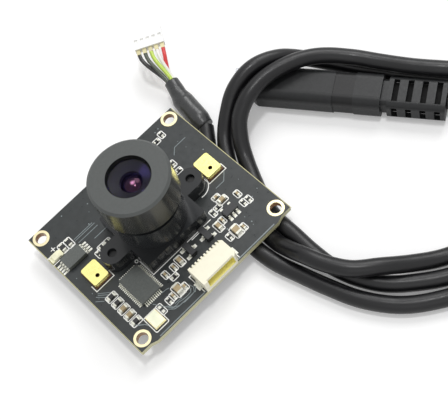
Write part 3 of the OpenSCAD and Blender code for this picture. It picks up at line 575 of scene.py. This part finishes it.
FINISHES = {
    "solder_mask": board_finish(),
    "gold": plain("gold", (250, 238, 196), 0.3, 1.0, drift=0.92),
    "holder_plastic": plain(
        "holder_plastic", (33, 35, 37), 0.22, size=1.2, depth=0.0015, drift=0.9, wear=0.025),
    "screw_steel": plain("screw_steel", (22, 23, 24), 0.3, 0.3),
    "lens_metal": barrel_finish(),
    "lens_cone": plain("lens_cone", (11, 11, 12), 0.5, depth=0.001).set(Specular_IOR_Level=0.25),
    "coated_glass": glass_finish("coated_glass", linear(150, 135, 255), 0.05, 0.007),
    "inner_glass": painted_highlight_glass(),
    "clear_glass": glass_finish("clear_glass", linear(150, 130, 200), 0.02, 0.3),
    "filter_glass": glass_finish("filter_glass", linear(170, 220, 225), 0.03, 0.35),
    "chip_ceramic": plain("chip_ceramic", (48, 43, 40), 0.6),
    "silicon": plain("silicon", (110, 100, 130), 0.12, 1.0),
    "mic_gold": plain("mic_gold", (253, 245, 160), 0.28, 1.0, drift=0.94),
    "mic_base": plain("mic_base", (92, 58, 38), 0.55),
    "black_epoxy": plain("black_epoxy", (44, 45, 47), 0.4, size=0.08, depth=0.004),
    "chip_epoxy": plain("chip_epoxy", (88, 92, 89), 0.5, size=0.08, depth=0.004),
    "tinned_leads": plain("tinned_leads", (240, 240, 226), 0.32, 0.4, size=0.2),
    "crystal_metal": plain("crystal_metal", (238, 240, 214), 0.34, 1.0),
    "capacitor_ceramic": plain("capacitor_ceramic", (186, 166, 128), 0.5, size=0.15),
    "resistor_film": plain("resistor_film", (40, 40, 42), 0.35, size=0.15),
    "led_white": plain("led_white", (250, 248, 216), 0.3, size=0.3),
    "socket_nylon": socket_finish(),
    "cable_jacket": plain(
        "cable_jacket", (20, 20, 22), 0.36, size=0.6, depth=0.004).set(Specular_IOR_Level=0.36),
    "sleeve_black": plain("sleeve_black", (50, 51, 52), 0.3, size=0.5, depth=0.02),
    "wire_black": plain("wire_black", (40, 40, 40), 0.3),
    "wire_grey": plain("wire_grey", (84, 90, 78), 0.3),
    "wire_green": plain("wire_green", (196, 222, 92), 0.3, drift=0.92),
    "wire_white": plain("wire_white", (246, 244, 240), 0.3, drift=0.95),
    "wire_red": plain("wire_red", (222, 66, 66), 0.3, drift=0.9),
    "crimp_metal": plain("crimp_metal", (216, 208, 168), 0.3, 1.0),
    "plug_nylon": plain("plug_nylon", (252, 252, 250), 0.4, drift=0.97),
    "plug_vinyl": plug_finish(),
    # near-black, for the painted shade in the strain relief's windows
    "core_black": plain("core_black", (8, 8, 8), 0.6).set(Specular_IOR_Level=0.1),
    "shell_steel": plain("shell_steel", (205, 206, 210), 0.22, 1.0),
    "insert_plastic": plain("insert_plastic", (38, 38, 38), 0.5),
    "silk_white": plain("silk_white", (255, 255, 251), 0.6, size=0.1, drift=0.93),
    "solder": plain("solder", (254, 254, 244), 0.4, 0.1, size=0.3, depth=0.02),
    "trace": plain("trace", (136, 146, 148), 0.35, size=0.3),
    "bare_rim": plain("bare_rim", (206, 200, 152), 0.5, size=0.3),
}

BLACK_CHIPS = ("regulator", "transistors")  # the other chips are grey


def finish_of(name):
    return FINISHES[name].material


def dress_cad():
    """Gives every CAD node the finish of its slot."""
    slots = {s["node"]: s["material_slot"] for s in frame["record"]["subparts"]}
    for name, piece in NODES.items():
        piece.data.materials.clear()
        piece.data.materials.append(finish_of("black_epoxy" if name in BLACK_CHIPS else slots[name]))
    cable.data.materials.append(finish_of("cable_jacket"))
    sleeve.data.materials.append(finish_of("sleeve_black"))
    for name, wire in zip(WIRES, wires):
        wire.data.materials.append(finish_of(name))


# ---------- board details ----------

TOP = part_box("circuit_board")[1].z / MM
SILK = 0.012  # height of the print
COPPER = 0.02  # height of a solder wedge's outer rim
PAD = COPPER * 0.5  # height of the bare pads
LINE = 0.18  # width of the print
CORNER = 0.28  # radius of a printed outline's corners


def in_mm(box):
    return box[0] / MM, box[1] / MM


def centre_of(box):
    return (box[0] + box[1]) / 2


def around(silk, lo, hi, margin):
    """Printed rectangle with rounded corners, the given margin outside a box."""
    inset = margin - CORNER
    path = []
    for x, y, start in ((hi.x + inset, hi.y + inset, 0), (lo.x - inset, hi.y + inset, 90),
                        (lo.x - inset, lo.y - inset, 180), (hi.x + inset, lo.y - inset, 270)):
        for k in range(4):
            a = math.radians(start + 30 * k)
            path.append((x + CORNER * math.cos(a), y + CORNER * math.sin(a)))
    silk.line(path, LINE, TOP, TOP + SILK, closed=True)


def chip_parts():
    """Solder and printed outlines of the chip capacitors and resistors."""
    solder, silk = Flat(), Flat()
    bodies = [in_mm(b) for n in ("capacitors", "resistors") for b in islands(n)]
    ends = [in_mm(b) for b in islands("chip_ends")]
    for body in bodies:
        middle = centre_of(body)
        pair = sorted(ends, key=lambda e: (centre_of(e) - middle).xy.length)[:2]
        lo = Vector([min(e[0][k] for e in pair) for k in range(3)])
        hi = Vector([max(e[1][k] for e in pair) for k in range(3)])
        around(silk, lo, hi, 0.32)
        for end in pair:
            fillet(solder, end, (centre_of(end) - middle).xy)
    solder.piece("chip_solder", "tinned_leads", finish_of("solder"))
    silk.piece("chip_outlines", "solder_mask", finish_of("silk_white"))


def fillet(solder, end, away):
    """Concave solder wedge on the outer face of one end cap, down to the rim of its pad."""
    lo, hi = end
    along_x = abs(away.x) > abs(away.y)
    sign = math.copysign(1, away.x if along_x else away.y)
    face = (hi if sign > 0 else lo)[0 if along_x else 1]
    reach = 0.24
    rise = 0.62 * (hi.z - TOP)
    profile = [
        (0, rise), (0.25 * reach, 0.45 * rise), (0.55 * reach, 0.18 * rise),
        (reach, COPPER), (reach, 0), (0, 0)]
    side_lo, side_hi = (lo.y, hi.y) if along_x else (lo.x, hi.x)
    at = len(solder.points)
    for side in (side_lo, side_hi):
        for out, z in profile:
            place = face + sign * out
            solder.points.append((place, side, TOP + z) if along_x else (side, place, TOP + z))
    n = len(profile)
    flip = (sign > 0) == along_x
    first = tuple(at + i for i in range(n))
    second = tuple(at + n + i for i in range(n))
    solder.faces.append(first if not flip else first[::-1])
    solder.faces.append(second[::-1] if not flip else second)
    for i in range(n):
        j = (i + 1) % n
        quad = (at + i, at + n + i, at + n + j, at + j)
        solder.faces.append(quad if not flip else quad[::-1])


def revolved(name, profile, sides, material, smooth=True):
    """Closed surface of revolution about the lens axis.

    The profile's (radius, height) points, in millimetres, run outwards over the top and back underneath.
    """
    mesh = bpy.data.meshes.new(name)
    points, faces = [], []
    for r, z in profile:
        for k in range(sides):
            a = 2 * math.pi * k / sides
            points.append((r * math.cos(a) * MM, r * math.sin(a) * MM, z * MM))
    n = len(profile)
    for i in range(n):
        for k in range(sides):
            a, b = i * sides, (i + 1) % n * sides
            j = (k + 1) % sides
            faces.append((a + k, b + k, b + j, a + j))
    mesh.from_pydata(points, [], faces)
    mesh.polygons.foreach_set("use_smooth", [smooth] * len(mesh.polygons))
    mesh.materials.append(material)
    piece = add_piece(name, mesh)
    return piece


AXIS_R = 0.001  # stands for the lens axis itself, so that no two points coincide


def dome(r, sag):
    """(radius, height) points of a ball's cap from its middle to its rim, in millimetres."""
    steps = 12
    ball = (r * r + sag * sag) / (2 * sag)
    spread = math.asin(r / ball)
    turns = [spread * k / steps for k in range(steps + 1)]
    return [(max(ball * math.sin(a), AXIS_R), ball * math.cos(a) - ball + sag) for a in turns]


def lens_front():
    """What shows in the lens's face: a thin coated dome, a black cone under it and a small bulged lens."""
    lo, hi = in_mm(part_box("front_lens"))
    r = (hi.x - lo.x) / 2
    rim = FACE - 0.75
    thin = 0.25
    top = [(a, rim + z) for a, z in dome(r, 0.5)]
    below = [(a, z - thin) for a, z in reversed(top)]
    glass = revolved("front_glass", top + below, 96, finish_of("coated_glass"))
    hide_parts("front_lens")
    small_r = 2.1
    wall = small_r + 0.4
    cone_z = lo.z - 0.9
    cone = [(r, lo.z), (r, rim - thin), (r - 0.12, rim - thin), (small_r + 0.08, SMALL_LENS_Z + 0.12),
            (small_r, SMALL_LENS_Z + 0.04), (small_r, cone_z), (wall, cone_z), (wall, lo.z)]
    revolved("lens_cone", cone[::-1], 96, finish_of("lens_cone"), smooth=False)
    back = SMALL_LENS_Z - 0.9
    small = [(a, SMALL_LENS_Z - 0.7 + z) for a, z in dome(small_r, 0.72)]
    small += [(small_r, back), (AXIS_R, back)]
    revolved("small_front_lens", small, 64, finish_of("inner_glass"))


def painted_relief_shade():
    """Painted shade: a near-black box along the cable's middle that darkens what shows in the windows of the
    strain relief.
    """
    half_w, half_h, inset = 2.36, 1.36, 0.2
    side = Vector((-PLUG_AHEAD.y, PLUG_AHEAD.x, 0)) * half_w
    a, b = plug_point(RELIEF_X + inset), plug_point(RELIEF_X + RELIEF_L - inset)
    shade_box = Flat()
    shade_box.prism([tuple(p.xy) for p in (a - side, b - side, b + side, a + side)], a.z - half_h, a.z + half_h)
    shade_box.piece("painted_relief_shade", "plug_vinyl", finish_of("core_black"))


EMPTY = (-10.9, -13.5)  # middle of the pair of pads without a part

# leads, their bodies, how far each pad reaches past the toe and how much wider it is on each side
LEADS = [
    ("processor_leads", "processor", 0.14, 0.03),
    ("flash_leads", "flash_memory", 0.3, 0.08),
    ("regulator_leads", "regulator", 0.2, 0.12),
    ("transistor_leads", "transistors", 0.2, 0.14),
    ("socket_contacts", "cable_socket", 0.1, 0.06),
    ("socket_tabs", "cable_socket", 0.1, 0.06),
]


def lead_pads():
    """Tinned pads under the chips' leads and the socket's feet, and one pair left empty."""
    pads = Flat()
    for node, chip, out, spare in LEADS:
        bodies = [in_mm(b) for b in islands(chip)]
        for box in islands(node):
            lo, hi = in_mm(box)
            middle = (lo + hi) / 2
            body = min(bodies, key=lambda b: (centre_of(b) - middle).xy.length)
            past = middle - centre_of(body)
            half = (body[1] - body[0]) / 2
            k = 0 if abs(past.x) - half.x > abs(past.y) - half.y else 1
            a, b = [lo.x - spare, lo.y - spare], [hi.x + spare, hi.y + spare]
            if past[k] > 0:
                b[k] += out
            else:
                a[k] -= out
            pads.plate(a, b, TOP, TOP + PAD)
    for y in (EMPTY[1] + 0.55, EMPTY[1] - 0.55):
        pads.plate((EMPTY[0] - 0.3, y - 0.3), (EMPTY[0] + 0.3, y + 0.3), TOP, TOP + PAD)
    pads.piece("lead_pads", "tinned_leads", finish_of("solder"))


def printed_lines():
    """Plain white outlines printed round the larger parts."""
    silk = Flat()
    for box in islands("microphone_bases"):
        lo, hi = in_mm(box)
        path = [(lo.x - 0.3, lo.y + 1.2), (lo.x - 0.3, lo.y - 0.3),
                (hi.x + 0.3, lo.y - 0.3), (hi.x + 0.3, lo.y + 1.2)]
        silk.line(path, LINE, TOP, TOP + SILK)
    lo, hi = in_mm(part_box("crystal_base"))
    around(silk, lo, hi, 0.3)
    around(silk, Vector((EMPTY[0] - 0.3, EMPTY[1] - 0.85)), Vector((EMPTY[0] + 0.3, EMPTY[1] + 0.85)), 0.3)
    lo, hi = in_mm(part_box("cable_socket"))
    silk.line([(lo.x - 0.35, lo.y + 0.6), (lo.x - 0.35, hi.y + 0.35), (hi.x + 0.35, hi.y + 0.35),
               (hi.x + 0.35, lo.y + 0.6)], LINE, TOP, TOP + SILK)
    lo, hi = in_mm(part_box("processor"))
    silk.arc((hi.x + 0.45, hi.y + 0.8), 0.3, 0, 360, LINE, TOP, TOP + SILK)
    silk.line([(-7.3, -3.4), (-7.3, -7.35), (7.3, -7.35)], LINE, TOP, TOP + SILK)
    silk.arc((10, 0), 2.75, -100, 60, LINE, TOP, TOP + SILK)
    silk.line([(2.2, -7.7), (4.1, -7.7)], LINE, TOP, TOP + SILK)
    lo, hi = in_mm(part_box("status_led"))
    plus = Vector(((lo.x + hi.x) / 2 + 0.5, hi.y + 1.1))
    arm, thin = 0.45, 0.16
    silk.line([(plus.x - arm, plus.y), (plus.x + arm, plus.y)], thin, TOP, TOP + SILK)
    silk.line([(plus.x, plus.y - arm), (plus.x, plus.y + arm)], thin, TOP, TOP + SILK)
    silk.line([(lo.x - 0.1, lo.y - 0.25), (hi.x + 0.2, lo.y - 0.25)], LINE, TOP, TOP + SILK)
    silk.line([(lo.x - 0.1, hi.y + 0.25), (hi.x + 0.2, hi.y + 0.25)], LINE, TOP, TOP + SILK)
    silk.piece("printed_lines", "solder_mask", finish_of("silk_white"))


TRACE_W = 0.14
# middle lines of the tracks
TRACES = [
    [(-12.8, 9.4), (-7.9, 9.4)],
    [(-12.6, 8.6), (-7.8, 8.6)],
    [(-9.9, 6.9), (-7.2, 6.9)],
    [(-12.8, 9.8), (-8.2, 9.8)],
    [(-2.8, -13.7), (-2.8, -14.1), (-4.4, -15.7)],
    [(12.6, -3.4), (14.6, -3.4), (16.2, -1.8)],
    [(12.2, 8.2), (13.4, 9.4), (16.2, 9.4)],
    [(-1.6, 8.6), (-1.6, 12.4), (1.2, 15.2)],
    [(-1.1, 8.6), (-1.1, 12.2), (1.6, 14.9)],
    [(-16.9, -2.2), (-14.8, -4.1)],
    [(-17.1, -2.5), (-15.3, -4.2)],
    [(-17.6, -2.5), (-16, -4.3)],
    [(-18.2, -3.1), (-17.1, -4.2)],
    [(-11.3, -11.6), (-9.4, -14.8), (-8.1, -15.5), (-5.6, -15.6), (-4.4, -15.6), (-3.4, -14.9)],
    [(-16.4, -12.2), (-14.5, -13.7)],
    [(-8.7, -11.2), (-7.8, -11.3), (-7.2, -11.5)],
    [(-10.1, -14.4), (-9.2, -15.3), (-8.3, -15.5), (-7.5, -15.5), (-7.0, -15.7), (-5.5, -15.7),
     (-4.6, -15.6), (-4.0, -14.8), (-4.2, -14.0)],
    [(-9.8, -13.8), (-9.1, -14.9), (-8.4, -15.0), (-7.8, -14.9), (-7.0, -15.1), (-5.8, -15.2),
     (-5.0, -15.1), (-4.5, -14.6)],
    [(-8.5, -14.6), (-7.8, -14.6), (-6.9, -14.7)],
    [(-16.1, -12.2), (-14.9, -13.4), (-14.6, -14.1)],
]


def traces():
    """Tracks under the solder mask, a pale line just inside the front edge, and the bare rims of two edges.
    """
    lines = Flat()
    for path in TRACES:
        lines.line(path, TRACE_W, TOP, TOP + SILK)
    lo, hi = in_mm(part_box("circuit_board"))
    # a pale line just inside the front edge, in the tracks' colour
    lines.line([(lo.x + 4.6, lo.y + 0.3), (hi.x - 4.6, lo.y + 0.3)], 0.22, TOP, TOP + SILK)
    lines.piece("traces", "solder_mask", finish_of("trace"))
    rims = Flat()
    for x in (lo.x + 0.08, hi.x - 0.08):
        rims.line([(x, lo.y + 0.3), (x, hi.y - 0.3)], TRACE_W, TOP, TOP + SILK)
    rims.piece("bare_rims", "solder_mask", finish_of("bare_rim"))


VIA_FREE = [  # nodes that the vias keep clear of
    "lens_holder", "microphone_bases", "processor", "processor_leads", "flash_memory", "flash_leads",
    "crystal_base", "cable_socket", "chip_ends", "status_led", "mounting_rings", "regulator_leads",
    "transistor_leads", "socket_tabs", "regulator", "transistors"]


def vias():
    """Small dots for tinned holes, scattered by chance over the free parts of the board."""
    lo, hi = in_mm(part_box("circuit_board"))
    taken = [in_mm(b) for n in VIA_FREE for b in islands(n)]
    clear = 0.5
    sides = 8
    draw = random.Random(11)
    dots = Flat()
    for _ in range(90):
        x, y = draw.uniform(lo.x + 1, hi.x - 1), draw.uniform(lo.y + 1.2, hi.y - 1)
        if any(a.x - clear < x < b.x + clear and a.y - clear < y < b.y + clear for a, b in taken):
            continue
        r = draw.choice((0.08, 0.1, 0.14))
        turns = [k * math.pi / 4 for k in range(sides)]
        dots.prism([(x + r * math.cos(a), y + r * math.sin(a)) for a in turns], TOP, TOP + SILK)
    dots.piece("vias", "solder_mask", finish_of("trace"))


dress_cad()
lens_front()
painted_relief_shade()
chip_parts()
lead_pads()
printed_lines()
traces()
vias()


# ---------- floor and light ----------

FLOOR_TONE = 0.86
FLOOR_GLOW = 0.2  # only where a camera, glossy or transmission ray looks


def studio_floor():
    mesh = bpy.data.meshes.new("floor")
    half = 3.0
    z = REST_Z * MM
    corners = [(-half, -half, z), (half, -half, z), (half, half, z), (-half, half, z)]
    mesh.from_pydata(corners, [], [(0, 1, 2, 3)])
    floor = bpy.data.objects.new("floor", mesh)
    bpy.context.scene.collection.objects.link(floor)
    material = bpy.data.materials.new("floor")
    material.use_nodes = True
    tree = material.node_tree
    shader = tree.nodes["Principled BSDF"]
    shader.inputs["Base Color"].default_value = (FLOOR_TONE, FLOOR_TONE, FLOOR_TONE, 1)
    shader.inputs["Roughness"].default_value = 0.9
    shader.inputs["Specular IOR Level"].default_value = 0.0
    glow = tree.nodes.new("ShaderNodeEmission")
    glow.inputs["Color"].default_value = (1, 1, 1, 1)
    strength = calculate(tree, MATHS, "MULTIPLY", seen_factor(tree), FLOOR_GLOW)
    tree.links.new(strength.outputs[0], glow.inputs["Strength"])
    both = tree.nodes.new("ShaderNodeAddShader")
    tree.links.new(shader.outputs[0], both.inputs[0])
    tree.links.new(glow.outputs[0], both.inputs[1])
    tree.links.new(both.outputs[0], tree.nodes["Material Output"].inputs["Surface"])
    mesh.materials.append(material)


def seen_factor(tree):
    """1 where a camera, glossy or transmission ray looks, else 0."""
    path = tree.nodes.new("ShaderNodeLightPath")
    total = path.outputs["Is Camera Ray"]
    for name in ("Is Glossy Ray", "Is Transmission Ray"):
        total = calculate(tree, MATHS, "MAXIMUM", total, path.outputs[name]).outputs[0]
    return total


def studio_world(light, seen):
    """White all round, of one strength as a light and another where it is seen."""
    world = bpy.data.worlds.new("world")
    bpy.context.scene.world = world
    world.use_nodes = True
    tree = world.node_tree
    sky = tree.nodes["Background"]
    sky.inputs["Color"].default_value = (1, 1, 1, 1)
    level = tree.nodes.new("ShaderNodeMapRange")
    level.inputs["To Min"].default_value = light
    level.inputs["To Max"].default_value = seen
    tree.links.new(seen_factor(tree), level.inputs["Value"])
    tree.links.new(level.outputs["Result"], sky.inputs["Strength"])


def lamp(name, toward, distance, size, level):
    """Square lamp that lights a face turned to it to the given level."""
    data = bpy.data.lights.new(name, "AREA")
    data.size = size
    data.energy = level * math.pi**2 * distance**2
    obj = bpy.data.objects.new(name, data)
    bpy.context.scene.collection.objects.link(obj)
    direction = Vector(toward).normalized()
    centre = centre_of(CAD_BOX)
    obj.location = centre + direction * distance
    obj.rotation_mode = "QUATERNION"
    obj.rotation_quaternion = (-direction).to_track_quat("-Z", "Y")


studio_floor()
studio_world(light=0.5, seen=1.0)
lamp("key", (0.75, 0.45, 1.0), distance=0.7, size=0.34, level=0.4)
lamp("top", (0.14, 0.02, 1.0), distance=0.8, size=0.1, level=0.27)
lamp("front", (-0.6, -0.8, 0.9), distance=0.9, size=0.6, level=0.08)
bpy.context.scene.view_settings.view_transform = "Standard"
